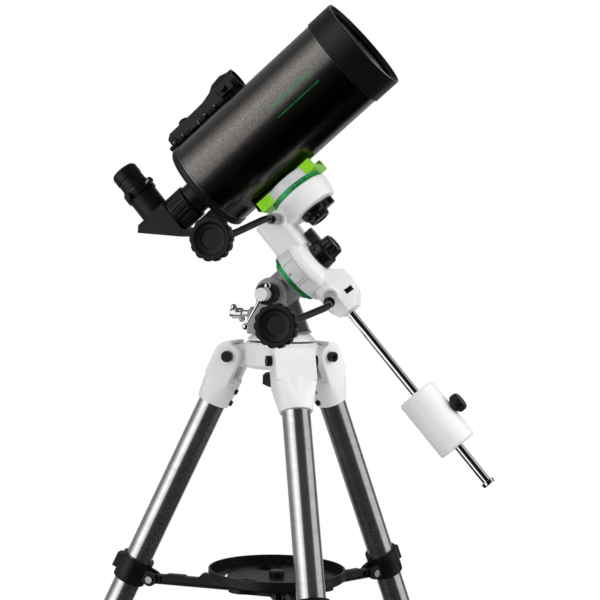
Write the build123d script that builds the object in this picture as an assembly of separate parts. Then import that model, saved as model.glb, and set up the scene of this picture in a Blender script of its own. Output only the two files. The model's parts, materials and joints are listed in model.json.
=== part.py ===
from build123d import *
import os
from math import cos, sin, radians, pi, sqrt

# Small Maksutov telescope on a light German equatorial mount and a steel tripod.
# Millimetres, +Z up. +X is the way the polar axis points. The mount is in its home
# position: tube along the polar axis, counterweight below. The origin is on the
# floor, under the middle of the space that the object takes up in that position.
#
# Three frames are used: the world; LEG frames, with the leg running along -Z from
# its hinge and +X facing outwards; and the HEAD frame, whose +X is the polar axis
# and +Z the declination axis, from the altitude pivot. All of them are worked out
# from the tripod's vertical axis, and save() shifts the finished pieces.

os.makedirs("parts", exist_ok=True)

# ---------------------------------------------------------------- fits
RUNNING = 0.06          # radial clearance of shafts and pins in their bores
GAP = 0.3               # between bodies that only pass each other

# ---------------------------------------------------------------- tripod
TRIPOD_X = 59.5         # tripod axis from the origin
LEG_AZIMUTHS = (180, -60, 60)
LEG_LENGTH = 700.0      # hinge to floor, legs retracted
LEG_ANGLE = 25.2        # from the vertical
HINGE_RADIUS = 57.3
HINGE_Z = LEG_LENGTH * cos(radians(LEG_ANGLE))

HUB_RADIUS = 42.0
HUB_TOP = 18.0          # above the hinges
HUB_BOTTOM = -12.5
LUG_WIDTH = 22.0
LUG_RADIUS = 13.5
HINGE_PIN = 4.0
CLEVIS_WIDTH = 47.0
CHEEK_RADIUS = 14.0
SLEEVE_RADIUS = 19.0
SLEEVE_END = 61.0       # down the leg
BRACKET_SCREWS = (38.0, 53.0)

UPPER_TUBE = 15.875     # 1.25 inch stainless leg tube
UPPER_BORE = 14.675
UPPER_END = 600.0
LOWER_TUBE = 12.7
LOWER_BORE = 11.5
LOWER_START = 180.0
LOCK_S = 582.0          # lock screw, down the leg
COLLAR_RADIUS = 19.7
FOOT_RADIUS = 16.0

PIVOT_S = 288.0         # spreader pivot, down the leg
PIVOT_INSET = 26.0      # and in from the leg's axis
PIVOT_PIN = 2.5
PIVOT_R = (HINGE_RADIUS + PIVOT_S * sin(radians(LEG_ANGLE))
           - PIVOT_INSET * cos(radians(LEG_ANGLE)))
PIVOT_Z = (HINGE_Z - PIVOT_S * cos(radians(LEG_ANGLE))
           - PIVOT_INSET * sin(radians(LEG_ANGLE)))
INNER_PIN_R = 30.0      # arms meet the spreader hub here
ARM_WIDTH = 8.6
ARM_HALF_HEIGHT = 5.5
ARM_SLOT = 11.8         # lets the inner end shift while the legs swing
ARM_SLOT_HALF = 4.7
TRAY_FLOOR_Z = PIVOT_Z + 12.2
TRAY_RADIUS = 80.0
TRAY_DEPTH = 12.5

# ---------------------------------------------------------------- mount
LATITUDE = 41.5
ALT_PIVOT_X = -5.0
ALT_PIVOT_Z = HINGE_Z + 74.5
ALT_BOLT = 5.0
FORK_INNER = 21.5
FORK_OUTER = 29.0
FORK_BOSS = 18.6
AZ_BASE_RADIUS = 38.8
SCREW_DROP = 25.0       # altitude screw below the altitude pivot

POLAR_RADIUS = 20.0
RA_CIRCLE = (25.0, 31.0)        # along the polar axis
RA_CIRCLE_RADIUS = 31.2
RA_SPIGOT = 15.0
RA_SHAFT = 12.0
RA_HEAD = (31.4, 51.0)
RA_HEAD_RADIUS = 36.5
RA_CAP_END = 63.5
TOWER_HALF = 25.0
RA_WHEEL = (42.0, 52.0)
WORM_OFFSET = 36.0      # RA worm from the polar axis
WORM_TILT = 20.0        # RA worm dips this much towards the front
WORM_A = 51.0           # RA worm along the polar axis
WORM_RADIUS = 5.5
WORM_PITCH = 2.1
WORM_TUNNEL = 10.0
WORM_SHAFT = 3.3
STUB = 3.0              # free end of a worm shaft
STUB_LENGTH = 8.5
RA_WORM_FRONT = 37.6    # from the wheel to the coupling
DEC_WORM_FRONT = 28.5
WHEEL_TEETH = 90
WHEEL_RADIUS = 29.9

DEC_A = 94.4            # declination axis along the polar axis
DEC_CUP = (46.5, 71.2)  # up the declination axis
DEC_CUP_RADIUS = 35.0
DEC_SHAFT = 11.0
DEC_CIRCLE = (71.5, 77.1)
DEC_CIRCLE_RADIUS = 33.0
DEC_DISC = (77.4, 89.5)
DEC_DISC_RADIUS = 32.5
DEC_WHEEL_RADIUS = 27.4
DEC_WORM_A = 61.0
DEC_WORM_B = 60.0

CW_A = 52.0             # counterweight shaft along the polar axis
CW_BOSS_END = -72.0
CW_SHAFT = 5.0
CW_SHAFT_START = -50.0
CW_SHAFT_END = -318.0
CW_WEIGHT = (-267.5, -192.5)
CW_RADIUS = 23.3

CABLE_RADIUS = 4.0
COUPLER_RADIUS = 6.5
COUPLER_LENGTH = 24.0
KNOB_RADIUS = 24.5
KNOB_BACK_Y = -141.0
KNOB_DEPTH = 16.0
KNOB_LOBES = 14
RA_KNOB_AT = (15.6, -53.0)      # along the polar axis, up the declination axis
DEC_KNOB_AT = (19.7, 64.6)

SADDLE = (51.5, 132.0)
SADDLE_Z = (79.8, 90.5)
SADDLE_FLOOR = 83.2
SADDLE_FRONT = -22.0
SADDLE_BACK = 30.0
BAR = (46.0, 138.0)
BAR_FOOT = 15.0         # half width at the foot of the dovetail
BAR_NECK = 12.4
BAR_Z = (83.5, 90.0)

# ---------------------------------------------------------------- optical tube
TUBE_B = 150.8          # tube axis above the polar axis
TUBE_RADIUS = 57.0
TUBE_BORE = 55.5
TUBE_A = (21.0, 229.5)
CELL_RADIUS = 58.5
CELL_FRONT = 262.5
CELL_OPENING = 50.5
LENS_RADIUS = 52.0
REAR_PLATE = (11.0, 16.0)
BAFFLE_RADIUS = 13.0
FOCUS_DROP = 35.0
FOCUS_KNOB_RADIUS = 12.0
EYEPIECE_A = -55.0
DIAGONAL_HALF = 17.5    # from where the axes cross to its two faces
HOLDER_TOP = 54.0       # eyepiece holder, above the tube axis
EYEPIECE_FIT = 15.875   # 1.25 inch barrel
FINDER_ANGLE = 18.0     # round the tube, away from the front
FINDER_PIVOT = (13.0, 75.0)     # along the tube, out from its axis

CENTRED = (Align.CENTER, Align.CENTER, Align.MIN)


# ---------------------------------------------------------------- helpers
def box(x, y, z):
    """Block between three (low, high) pairs."""
    return (Pos((x[0] + x[1]) / 2, (y[0] + y[1]) / 2, (z[0] + z[1]) / 2)
            * Box(x[1] - x[0], y[1] - y[0], z[1] - z[0]))


def rod(start, end, radius, end_radius=None):
    """Round bar between two points, or a cone where end_radius differs."""
    start, end = Vector(*start), Vector(*end)
    length = (end - start).length
    if end_radius is None or end_radius == radius:
        solid = Cylinder(radius, length, align=CENTRED)
    else:
        solid = Cone(radius, end_radius, length, align=CENTRED)
    return Plane(origin=start, z_dir=end - start) * solid


def lathe(*outline):
    """Solid of revolution about Z from (radius, height) corners."""
    return revolve(make_face(Plane.XZ * Polyline(*outline, close=True)), Axis.Z, 360)


def ring(outer, inner, z0, z1):
    """Plain ring about Z."""
    return lathe((inner, z0), (outer, z0), (outer, z1), (inner, z1))


def plate(corners, thickness, plane):
    """Flat outline drawn on a plane and given a thickness, centred on it."""
    return extrude(make_face(plane * Polyline(*corners, close=True)), thickness / 2, both=True)


def around(count, solid, start=0.0):
    """Copies of a solid spread round Z."""
    return [Rot(0, 0, start + 360 * i / count) * solid for i in range(count)]


ALONG_X = Rot(0, 90, 0)         # turns a lathe about Z into one about +X
ALONG_FRONT = Rot(90, 0, 0)     # turns +Z to -Y, the operator's side
HEAD = Pos(ALT_PIVOT_X, 0, ALT_PIVOT_Z) * Rot(0, -LATITUDE, 0)
TUBE = HEAD * Pos(0, 0, TUBE_B)


def lathe_x(*outline, z=0.0):
    """Lathe about +X, at a height; the outline is (radius, x)."""
    return Pos(0, 0, z) * ALONG_X * lathe(*outline)


def leg_frame(azimuth):
    return Rot(0, 0, azimuth) * Pos(HINGE_RADIUS, 0, HINGE_Z) * Rot(0, -LEG_ANGLE, 0)


def save(name, *solids, frame=Pos(0, 0, 0)):
    """Put the solids into the world and write them as one node."""
    placed = [Pos(TRIPOD_X, 0, 0) * frame * s for s in solids]
    shape = placed[0] if len(placed) == 1 else Compound(children=placed)
    shape.label = name
    export_step(shape, f"parts/{name}.step")


# ---------------------------------------------------------------- tripod pieces
def tripod_hub():
    hub = lathe((0, HUB_BOTTOM), (HUB_RADIUS - 4, HUB_BOTTOM), (HUB_RADIUS, HUB_BOTTOM + 4),
                (HUB_RADIUS, HUB_TOP - 2), (HUB_RADIUS - 2, HUB_TOP), (0, HUB_TOP))
    half = LUG_WIDTH / 2
    lug = box((HUB_RADIUS - 12, HINGE_RADIUS), (-half, half), (HUB_BOTTOM, LUG_RADIUS))
    lug += rod((HINGE_RADIUS, -half, 0), (HINGE_RADIUS, half, 0), LUG_RADIUS)
    hole = rod((HINGE_RADIUS, -half - 1, 0), (HINGE_RADIUS, half + 1, 0), HINGE_PIN)
    for azimuth in LEG_AZIMUTHS:
        hub = hub + Rot(0, 0, azimuth) * lug - Rot(0, 0, azimuth) * hole
    hub -= rod((0, 0, HUB_BOTTOM - 1), (0, 0, HUB_TOP + 1), ALT_BOLT + RUNNING)
    return hub


def hinge_bolt():
    """Shank through both cheeks, with a socket head and a nut outside them."""
    outside = CLEVIS_WIDTH / 2 + 0.5
    shank = rod((0, -outside - 5, 0), (0, outside + 5, 0), HINGE_PIN)
    head = rod((0, -outside - 6, 0), (0, -outside, 0), 6.0)
    nut = rod((0, outside, 0), (0, outside + 5, 0), 6.5)
    socket = plate([(2.6 * cos(k * pi / 3), 2.6 * sin(k * pi / 3)) for k in range(6)],
                   7, Plane.XZ.offset(outside + 6))
    return shank + head + nut - socket


def leg_bracket():
    half = CLEVIS_WIDTH / 2
    bracket = rod((0, -half, 0), (0, half, 0), CHEEK_RADIUS)
    bracket += box((-CHEEK_RADIUS, CHEEK_RADIUS), (-half, half), (-32, 0))
    bracket -= box((-30, 30), (-LUG_WIDTH / 2 - 0.5, LUG_WIDTH / 2 + 0.5), (-23, 20))
    bracket += rod((0, 0, -24), (0, 0, -SLEEVE_END), SLEEVE_RADIUS)
    for s in BRACKET_SCREWS:
        bracket += rod((-SLEEVE_RADIUS + 3, 0, -s), (-SLEEVE_RADIUS - 1, 0, -s), 5)
        bracket -= rod((-SLEEVE_RADIUS - 2, 0, -s), (-10, 0, -s), 2.0)
    bracket -= rod((0, 0, -28), (0, 0, -SLEEVE_END - 1), UPPER_TUBE)
    bracket -= rod((0, -half - 1, 0), (0, half + 1, 0), HINGE_PIN + RUNNING)
    return bracket


def upper_leg():
    tube = rod((0, 0, -28), (0, 0, -UPPER_END), UPPER_TUBE)
    tube -= rod((0, 0, -27), (0, 0, -UPPER_END - 1), UPPER_BORE)
    return tube - rod((0, 0, -LOCK_S), (20, 0, -LOCK_S), 3.6)


def leg_fittings():
    """Bracket screws, spreader collar with its pin, and the lock collar."""
    screws = [rod((-UPPER_TUBE, 0, -s), (-SLEEVE_RADIUS - 1, 0, -s), 2.0)
              + rod((-SLEEVE_RADIUS - 1, 0, -s), (-SLEEVE_RADIUS - 3.5, 0, -s), 3.4)
              for s in BRACKET_SCREWS]
    top, bottom = -PIVOT_S + 15, -PIVOT_S - 15
    collar = ring(COLLAR_RADIUS, UPPER_TUBE, bottom, top)
    for side in (-1, 1):
        y = sorted((side * (ARM_WIDTH / 2 + GAP), side * (ARM_WIDTH / 2 + 5.2)))
        ear = box((-PIVOT_INSET, -UPPER_TUBE - 1), y, (-PIVOT_S - 8, -PIVOT_S + 8))
        ear += rod((-PIVOT_INSET, y[0], -PIVOT_S), (-PIVOT_INSET, y[1], -PIVOT_S), 8)
        ear -= rod((0, 0, bottom), (0, 0, top), UPPER_TUBE + 1)
        collar += ear
    reach = ARM_WIDTH / 2 + 5.2
    collar -= rod((-PIVOT_INSET, -reach - 1, -PIVOT_S), (-PIVOT_INSET, reach + 1, -PIVOT_S),
                  PIVOT_PIN)
    collar += box((UPPER_TUBE + 1, COLLAR_RADIUS + 5), (-6, 6), (-PIVOT_S - 9, -PIVOT_S + 9))
    pin = rod((-PIVOT_INSET, -reach, -PIVOT_S), (-PIVOT_INSET, reach, -PIVOT_S), PIVOT_PIN)
    for side in (-1, 1):
        pin += rod((-PIVOT_INSET, side * reach, -PIVOT_S),
                   (-PIVOT_INSET, side * (reach + 2.5), -PIVOT_S), 4.2)
    lock = ring(COLLAR_RADIUS + 0.5, UPPER_TUBE, -UPPER_END, -LOCK_S + 22)
    lock += ring(COLLAR_RADIUS + 0.5, LOWER_TUBE + 0.08, -UPPER_END - 5, -UPPER_END)
    lock += rod((UPPER_TUBE + 1, 0, -LOCK_S), (29, 0, -LOCK_S), 9)
    lock -= rod((0, 0, -UPPER_END), (0, 0, -LOCK_S + 23), UPPER_TUBE)
    lock -= rod((10, 0, -LOCK_S), (30, 0, -LOCK_S), 3.0 + RUNNING)
    return [*screws, collar, pin, lock]


def lock_knob():
    """Six-lobed knob on a screw that bears on the lower leg when it is tight."""
    knob = lathe((0, 30), (9, 30), (13.5, 33), (13.5, 43), (11.5, 46), (0, 46))
    for flute in around(6, rod((15.5, 0, 29), (15.5, 0, 47), 4.2)):
        knob -= flute
    knob += rod((0, 0, LOWER_TUBE + 0.5), (0, 0, 31), 3.0)
    return Pos(0, 0, -LOCK_S) * ALONG_X * knob


def lower_leg(azimuth):
    """Inner tube, its guide ring at the top and the rubber foot, cut level with the floor."""
    start, end = -LOWER_START, -LEG_LENGTH + 12
    tube = ring(LOWER_TUBE, LOWER_BORE, end, start)
    guide = ring(UPPER_BORE - GAP, LOWER_TUBE, start - 22, start)
    foot = lathe((0, -LEG_LENGTH - 25), (FOOT_RADIUS, -LEG_LENGTH - 25),
                 (FOOT_RADIUS, -LEG_LENGTH + 20), (FOOT_RADIUS - 2, -LEG_LENGTH + 42),
                 (0, -LEG_LENGTH + 42))
    foot -= ring(LOWER_TUBE, LOWER_BORE, end, 0)
    foot -= rod((0, 0, end + 12), (0, 0, 0), LOWER_BORE)
    placed = leg_frame(azimuth) * foot
    return [leg_frame(azimuth) * tube, leg_frame(azimuth) * guide,
            placed & box((-500, 500), (-500, 500), (0, 200))]


def spreader_arm():
    """Flat arm; the outer end turns on the leg's pin, the inner end slides on the hub's."""
    half = ARM_WIDTH / 2
    inner_half = ARM_SLOT_HALF + 2.3
    arm = box((INNER_PIN_R + ARM_SLOT + 4, PIVOT_R), (-half, half),
              (-ARM_HALF_HEIGHT, ARM_HALF_HEIGHT))
    arm += rod((PIVOT_R, -half, 0), (PIVOT_R, half, 0), ARM_HALF_HEIGHT)
    end = box((INNER_PIN_R, INNER_PIN_R + ARM_SLOT + 8), (-half, half), (-inner_half, inner_half))
    end += rod((INNER_PIN_R, -half, 0), (INNER_PIN_R, half, 0), inner_half)
    arm += end
    tray_pad = TRAY_FLOOR_Z - PIVOT_Z - 0.6
    for x, height in ((INNER_PIN_R + 36, tray_pad), (PIVOT_R - 46, ARM_HALF_HEIGHT + 1.6)):
        arm += plate([(x, ARM_HALF_HEIGHT - 1), (x + 5, height), (x + 25, height),
                      (x + 32, ARM_HALF_HEIGHT - 1)], ARM_WIDTH, Plane.XZ)
    for side in (-1, 1):
        y = sorted((side * half, side * (half - 2.6)))
        arm -= box((INNER_PIN_R + ARM_SLOT + 14, PIVOT_R - 12), y,
                   (-ARM_HALF_HEIGHT + 2, ARM_HALF_HEIGHT - 2))
    arm -= rod((PIVOT_R, -half - 1, 0), (PIVOT_R, half + 1, 0), PIVOT_PIN + RUNNING)
    slot = box((INNER_PIN_R, INNER_PIN_R + ARM_SLOT), (-half - 1, half + 1),
               (-ARM_SLOT_HALF, ARM_SLOT_HALF))
    for x in (INNER_PIN_R, INNER_PIN_R + ARM_SLOT):
        slot += rod((x, -half - 1, 0), (x, half + 1, 0), ARM_SLOT_HALF)
    return Pos(0, 0, PIVOT_Z) * (arm - slot)


def spreader_hub():
    """Core with three pairs of fins; each pair carries a pin for an arm."""
    bottom, top = PIVOT_Z - 8, TRAY_FLOOR_Z
    hub = rod((0, 0, bottom), (0, 0, top), 9)
    inner, outer = ARM_WIDTH / 2 + 1.5, ARM_WIDTH / 2 + 4.5
    for azimuth in LEG_AZIMUTHS:
        for side in (-1, 1):
            y = sorted((side * inner, side * outer))
            hub += Rot(0, 0, azimuth) * box((0, INNER_PIN_R + 6), y, (bottom, top))
        hub += Rot(0, 0, azimuth) * rod((INNER_PIN_R, -outer, PIVOT_Z),
                                        (INNER_PIN_R, outer, PIVOT_Z), PIVOT_PIN)
    return hub - rod((0, 0, bottom - 1), (0, 0, top + 1), 3.0)


def accessory_tray():
    """Round tray with three eyepiece holes, three arc slots and its centre screw."""
    z = TRAY_FLOOR_Z
    tray = lathe((0, z), (TRAY_RADIUS - 2, z), (TRAY_RADIUS, z + 2), (TRAY_RADIUS, z + TRAY_DEPTH),
                 (TRAY_RADIUS - 2.2, z + TRAY_DEPTH), (TRAY_RADIUS - 2.4, z + 2.5), (0, z + 2.5))
    for azimuth in LEG_AZIMUTHS:
        collar = rod((50, 0, z - 8), (50, 0, z + 1), 18.4)
        hole = rod((50, 0, z - 9), (50, 0, z + 4), 16.2)
        tray = tray + Rot(0, 0, azimuth + 60) * collar - Rot(0, 0, azimuth + 60) * hole
        arc = ring(61.6, 58, z - 1, z + 4) & box((40, 80), (-24, 24), (z - 2, z + 5))
        tray -= Rot(0, 0, azimuth) * arc
    tray -= rod((0, 0, z - 1), (0, 0, z + 4), 3.0)
    screw = lathe((0, z - 14), (3.0, z - 14), (3.0, z + 2.5), (9, z + 2.5), (9, z + 8),
                  (7.5, z + 10), (0, z + 10))
    return [tray, screw]


# ---------------------------------------------------------------- mount base
def azimuth_base():
    top = HINGE_Z + HUB_TOP
    base = lathe((ALT_BOLT + RUNNING, top), (30, top), (30, top + 2), (AZ_BASE_RADIUS, top + 2),
                 (AZ_BASE_RADIUS, top + 4), (33, top + 9.5), (ALT_BOLT + RUNNING, top + 9.5))
    return base


def azimuth_lock_knob():
    """Bolt through the hub into the azimuth base, with its round knob below."""
    bottom = HINGE_Z + HUB_BOTTOM
    knob = rod((0, 0, bottom - 9), (0, 0, HINGE_Z + HUB_TOP + 7), ALT_BOLT)
    grip = lathe((0, bottom - 22), (15, bottom - 22), (21, bottom - 19), (21, bottom - 9),
                 (18, bottom - 6), (8, bottom - 4.5), (0, bottom - 4.5))
    for flute in around(8, rod((23.5, 0, bottom - 23), (23.5, 0, bottom - 5), 4.6)):
        grip -= flute
    washer = ring(8.5, ALT_BOLT, bottom - 2.2, bottom - 0.3)
    return [knob + grip, washer]


def altitude_fork():
    """Two arms either side of the polar housing, joined by a web for the altitude screw."""
    base_z = HINGE_Z + HUB_TOP + 9.5
    fork = None
    for side in (-1, 1):
        middle = side * (FORK_INNER + FORK_OUTER) / 2
        plane = Plane(origin=(0, middle, 0), x_dir=(1, 0, 0), z_dir=(0, -1, 0))
        arm = plate([(-30, base_z), (28, base_z), (24, base_z + 8),
                     (ALT_PIVOT_X + 16.5, ALT_PIVOT_Z - 8), (ALT_PIVOT_X + 6, ALT_PIVOT_Z + 10),
                     (ALT_PIVOT_X - 6, ALT_PIVOT_Z + 10), (ALT_PIVOT_X - 16.5, ALT_PIVOT_Z - 8),
                     (-30, base_z + 16)], FORK_OUTER - FORK_INNER, plane)
        arm += rod((ALT_PIVOT_X, side * FORK_INNER, ALT_PIVOT_Z),
                   (ALT_PIVOT_X, side * (FORK_OUTER + 1.5), ALT_PIVOT_Z), FORK_BOSS)
        fork = arm if fork is None else fork + arm
    fork += box((-33, -25.5), (-FORK_OUTER, FORK_OUTER), (base_z, base_z + 28))
    screw_z = ALT_PIVOT_Z - SCREW_DROP
    fork += rod((-38, 0, screw_z), (-27, 0, screw_z), 8)
    fork += box((-30, 28), (-FORK_OUTER, FORK_OUTER), (base_z, base_z + 2.5))
    fork -= rod((ALT_PIVOT_X, -50, ALT_PIVOT_Z), (ALT_PIVOT_X, 50, ALT_PIVOT_Z), ALT_BOLT + RUNNING)
    fork -= rod((-45, 0, screw_z), (-20, 0, screw_z), 4.0 + RUNNING)
    return fork


def altitude_clamp():
    """Pivot bolt of the altitude axis, its ribbed collar, cap and tommy bar."""
    face = -(FORK_OUTER + 1.5) - GAP
    bolt = rod((0, face - 30, 0), (0, FORK_OUTER + 12, 0), ALT_BOLT)
    collar = ALONG_FRONT * lathe((ALT_BOLT, -face), (11.5, -face), (12.5, -face + 2),
                                 (12.5, -face + 17), (10.5, -face + 19), (ALT_BOLT, -face + 19))
    for flute in around(18, rod((13.2, 0, -face - 1), (13.2, 0, -face + 20), 1.2)):
        collar -= ALONG_FRONT * flute
    cap = rod((0, face - 19, 0), (0, face - 34, 0), 7.5)
    nut = rod((0, FORK_OUTER + 1.8, 0), (0, FORK_OUTER + 8, 0), 8.5)
    bar_y = face - 26
    ends = [(11 * cos(radians(62)), 11 * sin(radians(62))),
            (-42 * cos(radians(62)), -42 * sin(radians(62)))]
    bar = rod((ends[0][0], bar_y, ends[0][1]), (ends[1][0], bar_y, ends[1][1]), 2.0)
    for x, z in ends:
        bar += Pos(x, bar_y, z) * Sphere(4.0)
    cap -= rod((ends[0][0], bar_y, ends[0][1]), (ends[1][0], bar_y, ends[1][1]), 2.0)
    bolt -= rod((ends[0][0], bar_y, ends[0][1]), (ends[1][0], bar_y, ends[1][1]), 2.0)
    cap -= rod((0, face - 30, 0), (0, face, 0), ALT_BOLT)
    return [bolt + nut, collar, cap, bar]


def altitude_screw():
    """Screw that pushes the polar housing's tongue, with its tommy bar."""
    z = ALT_PIVOT_Z - SCREW_DROP
    nose = ALT_PIVOT_X - 13.6
    screw = lathe_x((0, -63), (4.6, -63), (4.6, -61), (6.4, -60), (6.4, -48.5), (4, -48.5),
                    (4, nose - 3), (2, nose), (0, nose), z=z)
    reach_y, reach_z = 17 * cos(radians(26)), 17 * sin(radians(26))
    ends = (-54, -reach_y, z + reach_z), (-54, reach_y, z - reach_z)
    bar = rod(*ends, 2.0)
    screw -= bar
    for end in ends:
        bar += Pos(*end) * Sphere(3.8)
    return [screw, bar]


# ---------------------------------------------------------------- polar axis, head frame
def polar_housing():
    """Barrel of the polar axis, its pivot block, tongue, spigot and shaft."""
    body = lathe_x((0, -20), (POLAR_RADIUS - 3, -20), (POLAR_RADIUS, -17), (POLAR_RADIUS, 19.8),
                   (26, 20.8), (26, RA_CIRCLE[0] - GAP), (RA_SPIGOT, RA_CIRCLE[0] - GAP),
                   (RA_SPIGOT, RA_HEAD[0] - 0.2), (RA_SHAFT, RA_HEAD[0] - 0.2),
                   (RA_SHAFT, 57), (0, 57))
    body += rod((0, -FORK_INNER + GAP, 0), (0, FORK_INNER - GAP, 0), 16)
    body += Rot(0, LATITUDE, 0) * box((-12, 5), (-11, 11), (-35, -10))
    return body - rod((0, -40, 0), (0, 40, 0), ALT_BOLT + RUNNING)


def setting_circle(radius, bore, low, high, ticks):
    """Graduated ring about Z, with engraved divisions round its edge."""
    circle = lathe((bore, low), (radius - 0.6, low), (radius, low + 0.6), (radius, high - 0.6),
                   (radius - 0.6, high), (bore, high))
    for i in range(ticks):
        depth = 2.6 if i % 3 == 0 else 1.4
        cut = box((radius - 0.35, radius + 1), (-0.35, 0.35), (high - 0.9 - depth, high - 0.9))
        circle -= Rot(0, 0, 360 * i / ticks) * cut
    return circle


def ra_worm_axis(t):
    """Point on the RA worm's axis; t runs to the front from where it meets the wheel."""
    tilt = radians(WORM_TILT)
    y = WORM_OFFSET * sin(tilt) - t * cos(tilt)
    b = -WORM_OFFSET * cos(tilt) - t * sin(tilt)
    return (WORM_A, y, b)


def dec_worm_axis(t):
    return (DEC_WORM_A, -t, DEC_WORM_B)


def ra_tower():
    """Block that joins the RA head to the declination cup."""
    tower = box((RA_HEAD[0], 66.5), (-TOWER_HALF, TOWER_HALF), (20, 69))
    return fillet(tower.edges().filter_by(Axis.Z), 7)


def shaft_block():
    """Block that holds the counterweight shaft and the RA worm; its corners are cut off."""
    side = plate([(36, -18), (64, -18), (77, -28), (78, -42), (76, -60), (64, CW_BOSS_END),
                  (43, CW_BOSS_END), (37, -60)], 40, Plane.XZ)
    over = plate([(36, -15), (41, -20), (57, -20), (78.5, -7), (78.5, 7), (57, 20), (41, 20),
                  (36, 15)], 200, Plane.XY)
    return side & over


def ra_housing():
    """One casting: RA head, tower, declination cup and counterweight block."""
    head = lathe_x((0, RA_HEAD[0]), (RA_HEAD_RADIUS - 2, RA_HEAD[0]), (RA_HEAD_RADIUS - 2, 47.4),
                   (RA_HEAD_RADIUS, 47.4), (RA_HEAD_RADIUS, 52), (34, 57), (29, 60.5),
                   (20, RA_CAP_END), (0, RA_CAP_END))
    low, high = DEC_CUP
    cup = Pos(DEC_A, 0, 0) * lathe((0, low), (30, low), (32.5, low + 2), (DEC_CUP_RADIUS, high - 6.7),
                                   (DEC_CUP_RADIUS, high - 1.7), (33.4, high), (0, high))
    casting = head + ra_tower() + cup + shaft_block()
    casting += rod(ra_worm_axis(-27), ra_worm_axis(RA_WORM_FRONT - 0.5), WORM_TUNNEL)
    casting += rod(dec_worm_axis(-28), dec_worm_axis(DEC_WORM_FRONT - 0.5), WORM_TUNNEL)
    casting += box((DEC_WORM_A - 10, 78), (-25, 25), (52, 69))
    bore = RA_SHAFT + RUNNING
    casting -= lathe_x((0, 30), (32.6, 30), (32.6, 53.5), (bore, 53.5), (bore, 57.5), (0, 57.5))
    bore = DEC_SHAFT + RUNNING
    casting -= Pos(DEC_A, 0, 0) * lathe((0, low - 1), (bore, low - 1), (bore, 53), (29.6, 53),
                                        (29.6, high + 1), (0, high + 1))
    for axis, ends in ((ra_worm_axis, (-28, RA_WORM_FRONT)), (dec_worm_axis, (-29, DEC_WORM_FRONT))):
        casting -= rod(axis(ends[0]), axis(ends[1]), WORM_SHAFT + RUNNING)
        casting -= rod(axis(-16), axis(16), WORM_RADIUS + 1.2)
    casting -= rod((CW_A, 0, CW_BOSS_END - 1), (CW_A, 0, CW_SHAFT_START), CW_SHAFT)
    casting -= rod((RA_CAP_END - 6, 0, 0), (RA_CAP_END + 1, 0, 0), 4.0 + RUNNING)
    return casting - box((67, 80), (-14.7, -9.3), (-56, -50.5))


def ra_index_ring():
    """Bright ring round the RA head with engraved lines and the index mark."""
    band = lathe_x((RA_HEAD_RADIUS - 2, RA_HEAD[0]), (RA_HEAD_RADIUS, RA_HEAD[0]),
                   (RA_HEAD_RADIUS, 47.2), (RA_HEAD_RADIUS - 2, 47.2))
    for angle in (-58, -52, -20, 20, 26, 62):
        line = box((RA_HEAD[0] + 1, 46), (-0.35, 0.35), (RA_HEAD_RADIUS - 0.4, RA_HEAD_RADIUS + 1))
        band -= Rot(90 + angle, 0, 0) * line
    mark = plate([(RA_HEAD[0] + 1.2, -2), (RA_HEAD[0] + 1.2, 2), (RA_HEAD[0] + 5, 0)], 1.0,
                 Plane.XY.offset(RA_HEAD_RADIUS))
    band -= Rot(90, 0, 0) * mark
    band = band - ra_tower() - shaft_block()
    return band - rod(ra_worm_axis(-27), ra_worm_axis(RA_WORM_FRONT), WORM_TUNNEL)


def clutch_lever(collar, hub_end, reach, arm, stem):
    """Clutch handle about Z: round collar, ribbed cap and one lever; its screw goes down."""
    hub = lathe((0, 0), (16.5, 0), (17, 1.5), (16, collar - 1), (15, collar), (13.4, collar + 1),
                (12.6, hub_end - 1.5), (11, hub_end), (8.5, hub_end), (8, hub_end - 1.2),
                (0, hub_end - 1.2))
    for groove in around(9, rod((14.2, 0, collar + 0.8), (14.2, 0, hub_end + 1), 2.5)):
        hub -= groove
    lever = box((0, reach - 5.5), (-5.5, 5.5), arm)
    lever += rod((reach - 5.5, 0, arm[0]), (reach - 5.5, 0, arm[1]), 5.5)
    return hub + lever + rod((0, 0, -stem), (0, 0, 1), 4.0)


def worm(axis, front, back):
    """Worm on its shaft, with a free stub behind and the cable coupling in front."""
    shaft = rod(axis(STUB_LENGTH - back), axis(front + 3), WORM_SHAFT)
    shaft += rod(axis(-back), axis(STUB_LENGTH - back), STUB)
    thread = rod(axis(-12), axis(12), WORM_RADIUS)
    turns = int(22 / WORM_PITCH)
    for i in range(turns):
        t = -11 + (i + 0.5) * WORM_PITCH
        groove = ring(WORM_RADIUS + 1, WORM_RADIUS - 1.3, -0.5, 0.5)
        thread -= Plane(origin=axis(t), z_dir=Vector(*axis(t + 1)) - Vector(*axis(t))) * groove
    coupling = rod(axis(front), axis(front + COUPLER_LENGTH), COUPLER_RADIUS)
    coupling -= rod(axis(front - 1), axis(front + 3), WORM_SHAFT)
    coupling -= rod(axis(front + 15), axis(front + COUPLER_LENGTH + 1), CABLE_RADIUS + GAP)
    return [shaft + thread, coupling]


def worm_wheel(outer, bore, low, high):
    """Toothed wheel about Z; the teeth stop short of the worm so that they turn clear."""
    wheel = ring(outer, bore, low, high)
    tooth_gap = box((outer - 1.1, outer + 1), (-0.45, 0.45), (low - 1, high + 1))
    return wheel - Compound(children=around(WHEEL_TEETH, tooth_gap))


def cable_route(coupling_end, coupling_dir, knob_at):
    """Straight out of the coupling, across, and straight into the back of the knob."""
    start = Vector(*coupling_end) - Vector(*coupling_dir) * 8
    end = Vector(knob_at[0], KNOB_BACK_Y - 9, knob_at[1])
    near_knob = Vector(knob_at[0], KNOB_BACK_Y + 22, knob_at[1])
    after = Vector(*coupling_end) + Vector(*coupling_dir) * 15
    return FilletPolyline(start, after, near_knob, end, radius=26)


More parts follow.
